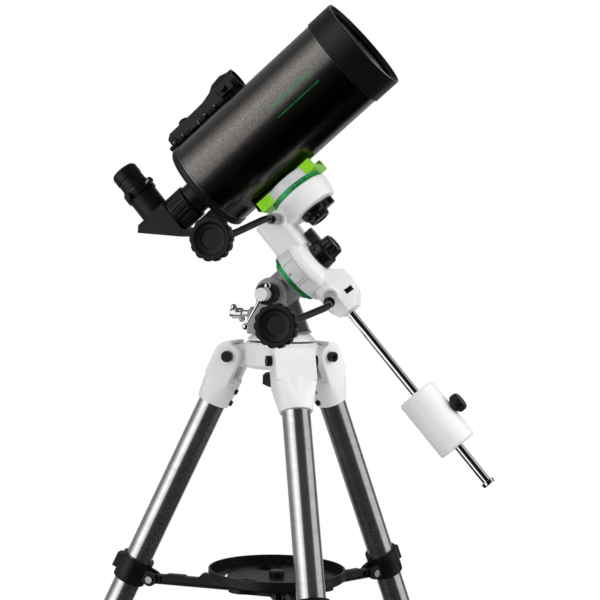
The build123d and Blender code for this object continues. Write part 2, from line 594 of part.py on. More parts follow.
def drive_cable(axis, front, knob_at):
    end = Vector(*axis(front + COUPLER_LENGTH))
    direction = (end - Vector(*axis(front))).normalized()
    route = cable_route(tuple(end), tuple(direction), knob_at)
    start = Plane(origin=route @ 0, z_dir=route % 0)
    return sweep(start * Circle(CABLE_RADIUS), path=route)


def control_knob(at):
    """Scalloped knob with a dished face, on the end of a drive cable."""
    radius, depth = KNOB_RADIUS, KNOB_DEPTH
    knob = lathe((0, 0), (9, 0), (12, 3), (radius - 2, 4), (radius, 6), (radius, depth - 2),
                 (radius - 2, depth), (radius - 6, depth), (radius - 8, depth - 2.5),
                 (12, depth - 3.5), (11, depth - 4.5), (0, depth - 4.5))
    for flute in around(KNOB_LOBES, rod((radius + 1.6, 0, -1), (radius + 1.6, 0, depth + 1), 3.4)):
        knob -= flute
    knob -= rod((0, 0, -1), (0, 0, 10), CABLE_RADIUS + GAP)
    return Pos(at[0], KNOB_BACK_Y, at[1]) * ALONG_FRONT * knob


# ---------------------------------------------------------------- declination axis, head frame
def dec_head():
    """Bright disc on the declination shaft, slotted for the saddle."""
    low, high = DEC_DISC
    head = lathe((0, DEC_CUP[0] + 1), (DEC_SHAFT, DEC_CUP[0] + 1), (DEC_SHAFT, low),
                 (DEC_DISC_RADIUS, low), (DEC_DISC_RADIUS, high - 1), (DEC_DISC_RADIUS - 1, high),
                 (0, high))
    head -= box((-50, 50), (SADDLE_FRONT, 50), (SADDLE_Z[0], high + 1))
    head -= box((-50, 50), (SADDLE_BACK + 0.5, 50), (low - 1, high + 1))
    head -= rod((0, 0, DEC_CUP[0]), (0, 0, DEC_CUP[0] + 14), 4.0 + RUNNING)
    return Pos(DEC_A, 0, 0) * head


def saddle():
    """Green dovetail saddle: floor, fixed front jaw and the wall for the jaw screw."""
    low, high = SADDLE_Z
    body = box(SADDLE, (SADDLE_FRONT, SADDLE_BACK), (low, high))
    body += box((SADDLE[0], 70), (SADDLE_FRONT, SADDLE_BACK), (low - 2.3, low))
    body += box((112, SADDLE[1]), (SADDLE_FRONT, SADDLE_BACK), (low - 2.3, low))
    body -= Pos(DEC_A, 0, 0) * rod((0, 0, low - 10), (0, 0, low), DEC_DISC_RADIUS + 0.2)
    channel = plate([(-BAR_FOOT - GAP, SADDLE_FLOOR), (SADDLE_BACK - 6, SADDLE_FLOOR),
                     (SADDLE_BACK - 6, high + 1), (-BAR_NECK - GAP, high + 1),
                     (-BAR_NECK - GAP, BAR_Z[1])],
                    400, Plane.YZ)
    body -= channel
    middle = (SADDLE[0] + SADDLE[1]) / 2
    z = SADDLE_FLOOR + 3.8
    body -= rod((middle, SADDLE_BACK - 8, z), (middle, SADDLE_BACK + 1, z), 3.0 + RUNNING)
    body -= rod((SADDLE[1] - 4, 5, low + 1.6), (SADDLE[1] + 1, 5, low + 1.6), 1.3)
    return body


def saddle_jaw():
    """Sliding jaw that presses the dovetail from behind."""
    middle = (SADDLE[0] + SADDLE[1]) / 2
    jaw = plate([(BAR_FOOT + GAP, SADDLE_FLOOR + GAP), (SADDLE_BACK - 9.4, SADDLE_FLOOR + GAP),
                 (SADDLE_BACK - 9.4, SADDLE_Z[1]), (BAR_NECK + GAP, SADDLE_Z[1]),
                 (BAR_NECK + GAP, BAR_Z[1])], 50, Plane.YZ.offset(middle))
    z = SADDLE_FLOOR + 3.8
    return jaw - rod((middle, SADDLE_BACK - 13.5, z), (middle, SADDLE_BACK - 9, z), 3.0 + GAP)


def saddle_knob():
    middle = (SADDLE[0] + SADDLE[1]) / 2
    knob = lathe((0, 1), (5, 1), (5, 3.6), (8, 3.6), (12, 6.5), (12, 14.5), (10, 16.5), (0, 16.5))
    for flute in around(8, rod((13, 0, 3), (13, 0, 17), 2.6)):
        knob -= flute
    knob += rod((0, 0, -10.2), (0, 0, 2), 3.0)
    return Pos(middle, SADDLE_BACK, SADDLE_FLOOR + 3.8) * Rot(-90, 0, 0) * knob


# ---------------------------------------------------------------- counterweight, head frame
def counterweight_shaft():
    shaft = rod((CW_A, 0, CW_SHAFT_START), (CW_A, 0, CW_SHAFT_END), CW_SHAFT)
    stop = Pos(CW_A, 0, 0) * lathe((0, CW_SHAFT_END - 5), (6.5, CW_SHAFT_END - 5),
                                   (7.5, CW_SHAFT_END - 4), (7.5, CW_SHAFT_END), (0, CW_SHAFT_END))
    return [shaft, stop]


def counterweight():
    low, high = CW_WEIGHT
    weight = lathe((CW_SHAFT + 0.1, low), (CW_RADIUS - 1.5, low), (CW_RADIUS, low + 1.5),
                   (CW_RADIUS, high - 1.5), (CW_RADIUS - 1.5, high), (CW_SHAFT + 0.1, high))
    middle = (low + high) / 2
    weight -= rod((CW_SHAFT - 1, 0, middle), (CW_RADIUS + 1, 0, middle), 3.0 + RUNNING)
    return Pos(CW_A, 0, 0) * weight


def counterweight_knob():
    """Six-lobed knob whose screw bears on the shaft."""
    start = CW_RADIUS + 0.6
    knob = lathe((0, start), (7, start), (11, start + 4), (11, start + 10), (9, start + 12.5),
                 (0, start + 12.5))
    for flute in around(6, rod((13, 0, start), (13, 0, start + 14), 3.6)):
        knob -= flute
    knob += rod((0, 0, CW_SHAFT + 0.4), (0, 0, start + 1), 3.0)
    return Pos(CW_A, 0, (CW_WEIGHT[0] + CW_WEIGHT[1]) / 2) * ALONG_X * knob


# ---------------------------------------------------------------- optical tube, tube frame
def main_tube():
    return ALONG_X * ring(TUBE_RADIUS, TUBE_BORE, *TUBE_A)


def front_cell():
    """Front cell: plain rim, stepped inside, with the corrector's seat and inner ridges."""
    front, back = CELL_FRONT, TUBE_A[1]
    cell = lathe_x((CELL_OPENING, front - 3.5), (55, front - 3.5), (56.3, front),
                   (57.9, front), (CELL_RADIUS, front - 0.8), (CELL_RADIUS, back),
                   (TUBE_BORE, back), (TUBE_BORE, back - 10), (TUBE_BORE - 2.5, back - 10),
                   (TUBE_BORE - 2.5, front - 19.5), (CELL_OPENING, front - 19.5))
    return cell - lathe_x((0, front - 15.5), (LENS_RADIUS, front - 15.5),
                          (LENS_RADIUS, front - 5.5), (0, front - 5.5))


def corrector_lens():
    """Meniscus, hollow side out, held in the front cell; the spot is on its back."""
    centre_front, thickness, curve = CELL_FRONT - 14.5, 9.0, 158.0

    def arc(middle):
        sags = [curve - sqrt(curve ** 2 - r ** 2) for r in (LENS_RADIUS / 2, LENS_RADIUS)]
        return ThreePointArc((0, 0, middle), (LENS_RADIUS / 2, 0, middle + sags[0]),
                             (LENS_RADIUS, 0, middle + sags[1]))

    front, back = arc(centre_front), arc(centre_front - thickness)
    outline = Wire([front, Line(front @ 1, back @ 1), back, Line(back @ 0, front @ 0)])
    lens = revolve(make_face(outline), Axis.Z, 360)
    lens &= rod((0, 0, 0), (0, 0, CELL_FRONT - 5.5), LENS_RADIUS)
    back_z = centre_front - thickness
    spot = rod((0, 0, back_z - 1), (0, 0, back_z + 2), 14) - Pos(0, 0, back_z + curve) * Sphere(curve)
    return [ALONG_X * lens, ALONG_X * spot]


def rear_cell():
    """Rear cell with its back plate, and the visual back with its knurled ring."""
    low, high = REAR_PLATE
    cell = lathe_x((16.5, -10), (19, -10), (19, 2), (24, low), (CELL_RADIUS - 2.5, low),
                   (CELL_RADIUS - 0.4, low + 2.5), (CELL_RADIUS - 0.4, TUBE_A[0]),
                   (TUBE_BORE, TUBE_A[0]), (TUBE_BORE, TUBE_A[0] + 10),
                   (TUBE_BORE - 2.5, TUBE_A[0] + 10), (TUBE_BORE - 2.5, high), (16.5, high))
    cell -= rod((low - 1, 0, -FOCUS_DROP), (high + 1, 0, -FOCUS_DROP), 3.0 + RUNNING)
    cell -= rod((-9, 0, 0), (high + 1, 0, 0), 16.5)
    ring_body = lathe((EYEPIECE_FIT + 0.08, -36.9), (20, -36.9), (21.5, -35.4), (21.5, -12),
                      (19, -10), (EYEPIECE_FIT + 0.08, -10))
    for flute in around(20, rod((22.4, 0, -33), (22.4, 0, -14), 1.8)):
        ring_body -= flute
    return [cell, ALONG_X * ring_body]


def baffle_tube():
    flange = ring(16.5, BAFFLE_RADIUS - 1.5, 11.5, 16)
    return ALONG_X * (flange + ring(BAFFLE_RADIUS, BAFFLE_RADIUS - 1.5, 16, 150))


def primary_mirror():
    """Spherical mirror on its sliding sleeve; the sleeve runs on the baffle tube."""
    curve = 420.0
    mirror = ring(51, 17, 46, 58) - Pos(0, 0, 54 + curve) * Sphere(curve)
    sleeve = ring(17, BAFFLE_RADIUS + 0.08, 36, 66)
    carrier = ring(40, 17, 41.5, 46)
    return [ALONG_X * mirror, ALONG_X * (sleeve + carrier)]


def focus_knob():
    """Focus knob and the rod that moves the mirror carrier."""
    low = REAR_PLATE[0] - GAP
    knob = lathe((0, -27), (FOCUS_KNOB_RADIUS - 1.5, -27), (FOCUS_KNOB_RADIUS, -25.5),
                 (FOCUS_KNOB_RADIUS, low - 3), (FOCUS_KNOB_RADIUS - 4, low), (0, low))
    for flute in around(20, rod((FOCUS_KNOB_RADIUS + 0.5, 0, -24),
                                (FOCUS_KNOB_RADIUS + 0.5, 0, low - 5), 1.2)):
        knob -= flute
    knob += rod((0, 0, low - 1), (0, 0, 33), 3.0)
    return Pos(0, 0, -FOCUS_DROP) * ALONG_X * knob


def dovetail_bar():
    """Dovetail under the tube; its top is hollowed to the tube's radius."""
    low, high = BAR_Z[0] - TUBE_B, BAR_Z[1] - TUBE_B
    bar = plate([(-BAR_FOOT, low), (BAR_FOOT, low), (BAR_NECK, high), (BAR_NECK, high + 8),
                 (-BAR_NECK, high + 8), (-BAR_NECK, high)], 2 * (BAR[1] - BAR[0]), Plane.YZ)
    bar &= box(BAR, (-30, 30), (-90, 0))
    return bar - rod((0, 0, 0), (300, 0, 0), TUBE_RADIUS)


def star_diagonal():
    """Prism diagonal: nose, triangular housing, eyepiece holder, screws and the prism."""
    half, wing, blunt = DIAGONAL_HALF, 21.5, 6.5
    corners = [(half, half), (-wing, half), (-wing - blunt, half - blunt),
               (half - blunt, -wing - blunt), (half, -wing)]
    housing = plate([(EYEPIECE_A + x, z) for x, z in corners], 38, Plane.XZ)
    housing += rod((EYEPIECE_A + half, 0, 0), (-14, 0, 0), EYEPIECE_FIT)
    housing += rod((EYEPIECE_A, 0, half), (EYEPIECE_A, 0, HOLDER_TOP), 17.7)
    housing += rod((EYEPIECE_A, 0, HOLDER_TOP - 8), (EYEPIECE_A, 0, HOLDER_TOP), 19.5)
    cavity = rod((EYEPIECE_A, 0, 23), (EYEPIECE_A, 0, HOLDER_TOP + 1), EYEPIECE_FIT + 0.08)
    light = rod((-13, 0, 0), (EYEPIECE_A + 14, 0, 0), 13) + rod((EYEPIECE_A, 0, 12),
                                                               (EYEPIECE_A, 0, 24), 13)
    size = 14.0
    prism = plate([(EYEPIECE_A + size, size - 1), (EYEPIECE_A - size, size - 1),
                   (EYEPIECE_A + size, -size - 1)], 26, Plane.XZ)
    housing = housing - cavity - light - prism
    screws = []
    for angle in (250, 330):
        direction = Vector(cos(radians(angle)), sin(radians(angle)), 0)
        middle = Vector(EYEPIECE_A, 0, HOLDER_TOP - 4)
        thread = rod(middle + direction * (EYEPIECE_FIT + 0.5), middle + direction * 23, 1.5)
        housing -= rod(middle + direction * 14, middle + direction * 24, 1.5)
        screws.append(thread + rod(middle + direction * 20, middle + direction * 27, 4.0))
    return [housing, prism, *screws]


def eyepiece():
    """Short Ploessl eyepiece: chrome barrel, body, eye lens and field lens."""
    seat = HOLDER_TOP + 1.4
    barrel = ring(EYEPIECE_FIT, EYEPIECE_FIT - 1.4, seat - 26, seat)
    body = lathe((11, seat), (16.6, seat), (16.6, seat + 5), (15.8, seat + 6), (15.8, seat + 15),
                 (16.4, seat + 16), (16.4, seat + 26), (15, seat + 28.5), (9.5, seat + 27),
                 (9, seat + 21), (11, seat + 21))
    eye_lens = rod((0, 0, seat + 17), (0, 0, seat + 21), 11)
    field_lens = rod((0, 0, seat - 4.4), (0, 0, seat), EYEPIECE_FIT - 1.4)
    return [Pos(EYEPIECE_A, 0, 0) * s for s in (barrel, body, eye_lens, field_lens)]


# ---------------------------------------------------------------- finder, finder frame
def finder_base():
    """Shoe screwed to the tube, and the rail that carries the finder."""
    shoe = box((22, 96), (-10, 10), (50, 64.5)) - rod((0, 0, 0), (300, 0, 0), TUBE_RADIUS)
    rail = plate([(-13, 64.5), (13, 64.5), (10, 70), (-10, 70)], 2 * 104, Plane.YZ)
    rail &= box((4, 104), (-20, 20), (60, 75))
    clamp = box((40, 52), (-17, -9.5), (62.5, 68.5))
    rail -= box((39.9, 52.1), (-18, -9.5), (60, 72))
    screws = [rod((x, -9, 67), (x, -15.5, 67), 2.2) for x in (14, 28, 64, 80)]
    for x in (14, 28, 64, 80):
        rail -= rod((x, -9, 67), (x, -16, 67), 2.2)
    x, z = FINDER_PIVOT
    for side in (-1, 1):
        y = sorted((side * (10 + GAP), side * 12.8))
        ear = box((x - 4, x + 4), y, (66, z)) + rod((x, y[0], z), (x, y[1], z), 4)
        rail += ear - rod((x, -14, z), (x, 14, z), 1.6 + RUNNING)
    return [shoe, rail, clamp, *screws]


def finder_body():
    """Red-dot body: low battery housing sweeping up to the window tube."""
    low = 70.0 + GAP
    body = plate([(8, low), (100, low), (100, 84), (118, 84), (118, 92), (104, 97), (90, 95),
                  (82, 89), (68, 85.5), (50, 85), (14, 85), (8, 80)], 20, Plane.XZ)
    body += rod((90, 0, 84), (119, 0, 84), 13.5)
    body += box((92, 112), (-13.5, 13.5), (low, 84))
    body -= rod((86, 0, 84), (120, 0, 84), 11.4) & box((92, 121), (-20, 20), (60, 100))
    body -= box((60, 93), (-3, 3), (80, 90)) & box((72, 93), (-3, 3), (80, 86))
    x, z = FINDER_PIVOT
    body += rod((x, -13.4, z), (x, 13.4, z), 1.6)
    window = rod((108, 0, 84), (110, 0, 84), 11.4)
    dial = rod((34, 0, 85), (34, 0, 91), 7)
    for flute in around(12, rod((7.4, 0, 84), (7.4, 0, 92), 0.9)):
        dial -= Pos(34, 0, 0) * flute
    side_screw = rod((100, -13.5, 78), (100, -18.5, 78), 4.5)
    return [body, window, dial, side_screw]


# ---------------------------------------------------------------- build
def build_tripod():
    world = Pos(0, 0, HINGE_Z)
    save("tripod_hub", tripod_hub(), frame=world)
    bolts = [Rot(0, 0, a) * Pos(HINGE_RADIUS, 0, 0) * hinge_bolt() for a in LEG_AZIMUTHS]
    save("leg_hinge_bolts", *bolts, frame=world)
    for number, azimuth in enumerate(LEG_AZIMUTHS, 1):
        frame = leg_frame(azimuth)
        save(f"leg_bracket_{number}", leg_bracket(), frame=frame)
        save(f"upper_leg_{number}", upper_leg(), frame=frame)
        save(f"leg_fittings_{number}", *leg_fittings(), frame=frame)
        save(f"leg_lock_knob_{number}", lock_knob(), frame=frame)
        save(f"lower_leg_{number}", *lower_leg(azimuth))
        save(f"spreader_arm_{number}", spreader_arm(), frame=Rot(0, 0, azimuth))
    save("spreader_hub", spreader_hub())
    save("accessory_tray", *accessory_tray())


def build_mount():
    save("azimuth_base", azimuth_base())
    save("azimuth_lock_knob", *azimuth_lock_knob())
    save("altitude_fork", altitude_fork())
    save("altitude_clamp", *altitude_clamp(), frame=Pos(ALT_PIVOT_X, 0, ALT_PIVOT_Z))
    save("altitude_screw", *altitude_screw())
    save("polar_housing", polar_housing(), frame=HEAD)
    circle = setting_circle(RA_CIRCLE_RADIUS, RA_SPIGOT + RUNNING, *RA_CIRCLE, 72)
    save("ra_setting_circle", circle, frame=HEAD * ALONG_X)
    save("ra_housing", ra_housing(), frame=HEAD)
    save("ra_index_ring", ra_index_ring(), frame=HEAD)
    lever = clutch_lever(13.5, 26.0, 32.5, (4.4, 15.2), 5)
    save("ra_clutch_lever", lever,
         frame=HEAD * Pos(RA_CAP_END + GAP, 0, 0) * ALONG_X * Rot(0, 0, 180))
    wheel = worm_wheel(WHEEL_RADIUS, RA_SHAFT + RUNNING, *RA_WHEEL)
    save("ra_worm_wheel", wheel, frame=HEAD * ALONG_X)
    save("ra_worm", *worm(ra_worm_axis, RA_WORM_FRONT, 36), frame=HEAD)
    cables = [drive_cable(ra_worm_axis, RA_WORM_FRONT, RA_KNOB_AT),
              drive_cable(dec_worm_axis, DEC_WORM_FRONT, DEC_KNOB_AT)]
    save("drive_cables", *cables, frame=HEAD)
    save("ra_control_knob", control_knob(RA_KNOB_AT), frame=HEAD)
    save("dec_control_knob", control_knob(DEC_KNOB_AT), frame=HEAD)
    save("dec_worm", *worm(dec_worm_axis, DEC_WORM_FRONT, 37), frame=HEAD)
    wheel = worm_wheel(DEC_WHEEL_RADIUS, DEC_SHAFT + RUNNING, 55.0, 65.0)
    save("dec_worm_wheel", wheel, frame=HEAD * Pos(DEC_A, 0, 0))
    circle = setting_circle(DEC_CIRCLE_RADIUS, DEC_SHAFT + RUNNING, *DEC_CIRCLE, 72)
    save("dec_setting_circle", circle, frame=HEAD * Pos(DEC_A, 0, 0))
    lever = clutch_lever(7.5, 15.0, 26.0, (1.0, 9.2), 12)
    save("dec_clutch_lever", lever,
         frame=HEAD * Pos(DEC_A, 0, DEC_CUP[0] - GAP) * Rot(180, 0, 0))
    save("dec_head", dec_head(), frame=HEAD)
    save("saddle", saddle(), frame=HEAD)
    save("saddle_jaw", saddle_jaw(), frame=HEAD)
    save("saddle_knob", saddle_knob(), frame=HEAD)
    save("counterweight_shaft", *counterweight_shaft(), frame=HEAD)
    save("counterweight", counterweight(), frame=HEAD)
    save("counterweight_knob", counterweight_knob(), frame=HEAD)


def build_optical_tube():
    save("main_tube", main_tube(), frame=TUBE)
    save("front_cell", front_cell(), frame=TUBE)
    save("corrector_lens", *corrector_lens(), frame=TUBE)
    save("rear_cell", *rear_cell(), frame=TUBE)
    save("baffle_tube", baffle_tube(), frame=TUBE)
    save("primary_mirror", *primary_mirror(), frame=TUBE)
    save("focus_knob", focus_knob(), frame=TUBE)
    save("dovetail_bar", dovetail_bar(), frame=TUBE)
    save("star_diagonal", *star_diagonal(), frame=TUBE)
    save("eyepiece", *eyepiece(), frame=TUBE)
    finder = TUBE * Rot(-FINDER_ANGLE, 0, 0)
    save("finder_base", *finder_base(), frame=finder)
    save("finder_body", *finder_body(), frame=finder)


build_tripod()
build_mount()
build_optical_tube()
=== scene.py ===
import json
from math import copysign, cos, hypot, pi, radians, sin

import bmesh
import bpy
from mathutils import Matrix, Vector

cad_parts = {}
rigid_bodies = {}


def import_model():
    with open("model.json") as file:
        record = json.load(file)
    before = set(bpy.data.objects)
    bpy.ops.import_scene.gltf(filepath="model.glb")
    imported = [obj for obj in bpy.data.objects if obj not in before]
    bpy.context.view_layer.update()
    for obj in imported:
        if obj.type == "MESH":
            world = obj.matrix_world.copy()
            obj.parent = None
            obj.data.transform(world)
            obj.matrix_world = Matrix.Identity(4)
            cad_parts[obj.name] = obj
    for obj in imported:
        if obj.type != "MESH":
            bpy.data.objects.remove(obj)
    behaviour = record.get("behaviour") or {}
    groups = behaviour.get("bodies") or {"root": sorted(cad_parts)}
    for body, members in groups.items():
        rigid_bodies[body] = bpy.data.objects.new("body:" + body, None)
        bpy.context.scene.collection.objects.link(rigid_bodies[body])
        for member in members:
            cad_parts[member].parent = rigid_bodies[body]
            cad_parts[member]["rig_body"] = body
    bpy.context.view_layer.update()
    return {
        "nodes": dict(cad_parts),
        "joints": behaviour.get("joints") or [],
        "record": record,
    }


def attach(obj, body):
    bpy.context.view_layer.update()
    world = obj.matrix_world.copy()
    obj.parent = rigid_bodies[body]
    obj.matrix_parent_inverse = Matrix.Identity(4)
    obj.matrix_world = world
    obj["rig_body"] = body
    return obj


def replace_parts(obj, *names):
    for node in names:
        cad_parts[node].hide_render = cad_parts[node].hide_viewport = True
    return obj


# Maksutov telescope on an equatorial mount and a steel tripod: materials, castings with
# softened edges, bright trim and the studio. Metres, +Z up, in the CAD part's frame; sizes
# in millimetres are multiplied by MM.

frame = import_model()
NODES = frame["nodes"]
JOINTS = {joint["name"]: joint for joint in frame["joints"]}
SLOTS = {part["node"]: part["material_slot"] for part in frame["record"]["subparts"]}
MM = 0.001

# legs, in the leg's frame (mm)
WALL_INSIDE = 14.4      # inside of the front wall, from the hinge
WALL_OUTSIDE = 17.6
HALF_CLEVIS = 23.4      # half the clevis's width
WALL_END = -28
SLEEVE = 19.3           # outside of the round sleeve
SLEEVE_BORE = 17
PIN_X, PIN_Z = -26, -288    # spreader pin
PIN_HEAD = 4.3
FOOT_TOP = -655         # the rubber foot starts here

# telescope and mount, each in its own frame (mm)
TUBE_RADIUS = 57.0
EYEPIECE_A = -55.0      # eyepiece along the tube
LENS_RADIUS = 11.1      # of the eyepiece
DEC_A = 94.4            # declination axis along the polar axis
LINE_SPAN = (141, 204)  # green lines along the tube
LINE_WIDTH = 1.1
RAIL_SCREWS = (14, 28, 64, 80)  # along the finder's rail

# studio (m, degrees)
CAMERA_AT = Vector((0.623, -1.7835, 0.775))
CAMERA_BEARING = -72.5  # from the object to the camera, about +Z from +X
TARGET = Vector((0.06, 0.0, 0.72))
FLOOR_RADIUS = 1.25


# ---------------------------------------------------------------- frames, from the joints
def frame_from(origin, x_axis, z_axis):
    """Matrix of a frame with these X and Z axes."""
    x, z = Vector(x_axis).normalized(), Vector(z_axis).normalized()
    axes = Matrix((x, z.cross(x), z)).transposed().to_4x4()
    return Matrix.Translation(Vector(origin)) @ axes


def pos(x, y, z):
    """Matrix of a shift, in millimetres."""
    return Matrix.Translation(Vector((x, y, z)) * MM)


def turn(degrees, axis):
    return Matrix.Rotation(radians(degrees), 4, axis)


def add(made):
    """Link a new object to the scene."""
    bpy.context.scene.collection.objects.link(made)
    return made


def leg_frame(number):
    """+Z up the leg from its hinge, +X facing outwards."""
    up = -Vector(JOINTS[f"lower_leg_{number}_extend"]["axis"])
    hinge = Vector(JOINTS[f"leg_{number}_fold"]["axis"])
    return frame_from(JOINTS[f"leg_{number}_fold"]["pos_m"], hinge.cross(up), up)


WORLD = Matrix.Identity(4)
HEAD = frame_from(JOINTS["altitude"]["pos_m"], JOINTS["ra_axis"]["axis"],
                  JOINTS["dec_axis"]["axis"])
TUBE = HEAD @ pos(0, 0, (HEAD.inverted() @ Vector(JOINTS["diagonal_turn"]["pos_m"])).z / MM)
FINDER = TUBE @ turn(-18, "X")
LEGS = {number: leg_frame(number) for number in (1, 2, 3)}


# ---------------------------------------------------------------- materials
class Shader:
    """A Principled material, built up one effect at a time in object space."""

    def __init__(self, name, colour, roughness, metallic=0.0, **sockets):
        self.material = bpy.data.materials.new(name)
        self.material.use_nodes = True
        self.tree = self.material.node_tree
        self.surface = self.tree.nodes["Principled BSDF"]
        self.place = self.node("ShaderNodeTexCoord").outputs["Object"]
        self.set("Base Color", (*colour, 1.0))
        self.set("Roughness", roughness)
        self.set("Metallic", metallic)
        for socket, value in sockets.items():
            self.set(socket.replace("_", " "), value)

    def set(self, socket, value):
        self.surface.inputs[socket].default_value = value

    def node(self, kind, **settings):
        made = self.tree.nodes.new(kind)
        for key, value in settings.items():
            if key in made.inputs:
                made.inputs[key].default_value = value
            else:
                setattr(made, key, value)
        return made

    def link(self, output, socket):
        self.tree.links.new(output, socket)

    def noise(self, size, detail, stretch):
        """Noise with cells of about size millimetres; stretch makes it grain along an axis."""
        made = self.node("ShaderNodeTexNoise", Scale=1.0 / (size * MM), Detail=detail)
        mapping = self.node("ShaderNodeMapping", Scale=stretch)
        self.link(self.place, mapping.inputs["Vector"])
        self.link(mapping.outputs["Vector"], made.inputs["Vector"])
        return made.outputs["Fac"]

    def ramp(self, value, low, high, start=0.35, end=0.65):
        """Map a value onto a span between two greys or two colours."""
        made = self.node("ShaderNodeValToRGB")
        steps = zip(made.color_ramp.elements, (start, end), (low, high))
        for element, position, colour in steps:
            element.position = position
            element.color = (*colour, 1.0) if isinstance(colour, tuple) else (*[colour] * 3, 1.0)
        self.link(value, made.inputs["Fac"])
        return made.outputs["Color"]

    def vary(self, socket, size, low, high, detail=3.0, stretch=(1, 1, 1)):
        """Drive a socket from noise, between two values."""
        value = self.ramp(self.noise(size, detail, stretch), low, high)
        self.link(value, self.surface.inputs[socket])
        return self

    def rounded(self, radius):
        """Edges catch the light as if they were rounded to a radius in millimetres."""
        made = self.node("ShaderNodeBevel", samples=4, Radius=radius * MM)
        self.link(made.outputs["Normal"], self.surface.inputs["Normal"])
        return self

    def bump(self, size, depth, detail=2.0, stretch=(1, 1, 1)):
        """Relief of about depth millimetres over cells of about size millimetres."""
        made = self.node("ShaderNodeBump", Distance=depth * MM, Strength=1.0)
        self.link(self.noise(size, detail, stretch), made.inputs["Height"])
        normal = self.surface.inputs["Normal"]
        if normal.is_linked:
            self.link(normal.links[0].from_socket, made.inputs["Normal"])
        self.link(made.outputs["Normal"], normal)
        return self


def white_paint():
    """Gloss enamel with slight orange peel."""
    paint = Shader("white_paint", (0.9, 0.9, 0.9), 0.34, Coat_Weight=0.35, Coat_Roughness=0.18)
    paint.rounded(0.8)
    paint.vary("Base Color", 60, (0.89, 0.89, 0.885), (0.93, 0.93, 0.925))
    paint.vary("Roughness", 4, 0.3, 0.4)
    return paint.bump(3.0, 0.004)


def grey_paint():
    paint = Shader("grey_paint", (0.35, 0.35, 0.36), 0.4, metallic=0.3, Coat_Weight=0.2)
    paint.rounded(0.8)
    paint.vary("Base Color", 12, (0.3, 0.3, 0.31), (0.35, 0.35, 0.36))
    paint.vary("Roughness", 3, 0.36, 0.48)
    return paint.bump(1.5, 0.008)


def tube_paint():
    """Near-black paint full of fine metal flake."""
    paint = Shader("tube_paint", (0.06, 0.06, 0.06), 0.34, metallic=1.0)
    flake = paint.node("ShaderNodeTexVoronoi", Scale=1.0 / (0.45 * MM))
    paint.link(paint.place, flake.inputs["Vector"])
    spread = paint.node("ShaderNodeSeparateColor")
    paint.link(flake.outputs["Color"], spread.inputs["Color"])
    colour = paint.ramp(spread.outputs["Red"], (0.085, 0.08, 0.075), (0.22, 0.21, 0.2), 0.2, 1.0)
    paint.link(colour, paint.surface.inputs["Base Color"])
    paint.link(paint.ramp(spread.outputs["Green"], 0.17, 0.25), paint.surface.inputs["Roughness"])
    return paint


def black_metal():
    """Anodised or matt black metal, faintly turned."""
    metal = Shader("black_metal", (0.005, 0.005, 0.005), 0.34, Specular_IOR_Level=0.26)
    metal.rounded(0.5)
    metal.vary("Base Color", 25, (0.004, 0.004, 0.004), (0.007, 0.0066, 0.006))
    metal.vary("Roughness", 3, 0.32, 0.42)
    return metal.bump(0.6, 0.003)


def black_plastic():
    plastic = Shader("black_plastic", (0.005, 0.005, 0.005), 0.4, Specular_IOR_Level=0.24)
    plastic.rounded(0.6)
    plastic.vary("Base Color", 15, (0.004, 0.004, 0.004), (0.008, 0.008, 0.008))
    plastic.vary("Roughness", 2, 0.34, 0.46)
    return plastic.bump(0.8, 0.008)


def black_gloss_plastic():
    plastic = Shader("black_gloss_plastic", (0.004, 0.004, 0.004), 0.18, Specular_IOR_Level=0.4)
    plastic.rounded(0.6)
    plastic.vary("Base Color", 20, (0.003, 0.003, 0.003), (0.006, 0.006, 0.006))
    plastic.vary("Roughness", 5, 0.15, 0.24)
    return plastic.bump(2.0, 0.004)


def rubber():
    material = Shader("rubber", (0.008, 0.008, 0.008), 0.64, Specular_IOR_Level=0.2)
    material.vary("Base Color", 6, (0.006, 0.006, 0.006), (0.012, 0.012, 0.012))
    material.vary("Roughness", 2, 0.6, 0.76)
    return material.bump(0.6, 0.02)


def stainless():
    """Ground and polished leg tube, with grain round it."""
    metal = Shader("stainless", (0.62, 0.62, 0.62), 0.18, metallic=0.95)
    metal.vary("Base Color", 30, (0.6, 0.6, 0.6), (0.7, 0.7, 0.695), stretch=(1, 1, 4))
    metal.vary("Roughness", 1.4, 0.15, 0.24, detail=6.0, stretch=(0.25, 0.25, 6))
    return metal.bump(0.9, 0.001, detail=4.0, stretch=(0.25, 0.25, 6))


def chrome():
    metal = Shader("chrome", (0.8, 0.8, 0.81), 0.06, metallic=1.0)
    metal.rounded(0.5)
    metal.vary("Roughness", 6, 0.04, 0.09)
    metal.vary("Base Color", 20, (0.78, 0.78, 0.79), (0.86, 0.86, 0.86))
    return metal.bump(4, 0.002)


def steel():
    metal = Shader("steel", (0.36, 0.36, 0.36), 0.28, metallic=1.0)
    metal.vary("Base Color", 8, (0.32, 0.32, 0.32), (0.42, 0.42, 0.41))
    metal.vary("Roughness", 2, 0.24, 0.36)
    return metal.bump(0.8, 0.003)


def satin_silver():
    """Bright satin metal of the altitude bolt's cap and the finder's clamp."""
    metal = Shader("satin_silver", (0.85, 0.85, 0.85), 0.36, metallic=0.6)
    metal.rounded(0.5)
    metal.vary("Base Color", 8, (0.82, 0.82, 0.82), (0.9, 0.9, 0.9))
    metal.vary("Roughness", 2, 0.32, 0.42)
    return metal.bump(0.8, 0.003)


def machined_aluminium():
    """Pale satin finish of the turned rings."""
    metal = Shader("machined_aluminium", (0.74, 0.74, 0.74), 0.42, metallic=0.1)
    metal.rounded(0.4)
    metal.vary("Base Color", 14, (0.71, 0.71, 0.71), (0.77, 0.77, 0.77))
    metal.vary("Roughness", 2, 0.38, 0.48)
    return metal.bump(0.8, 0.003)


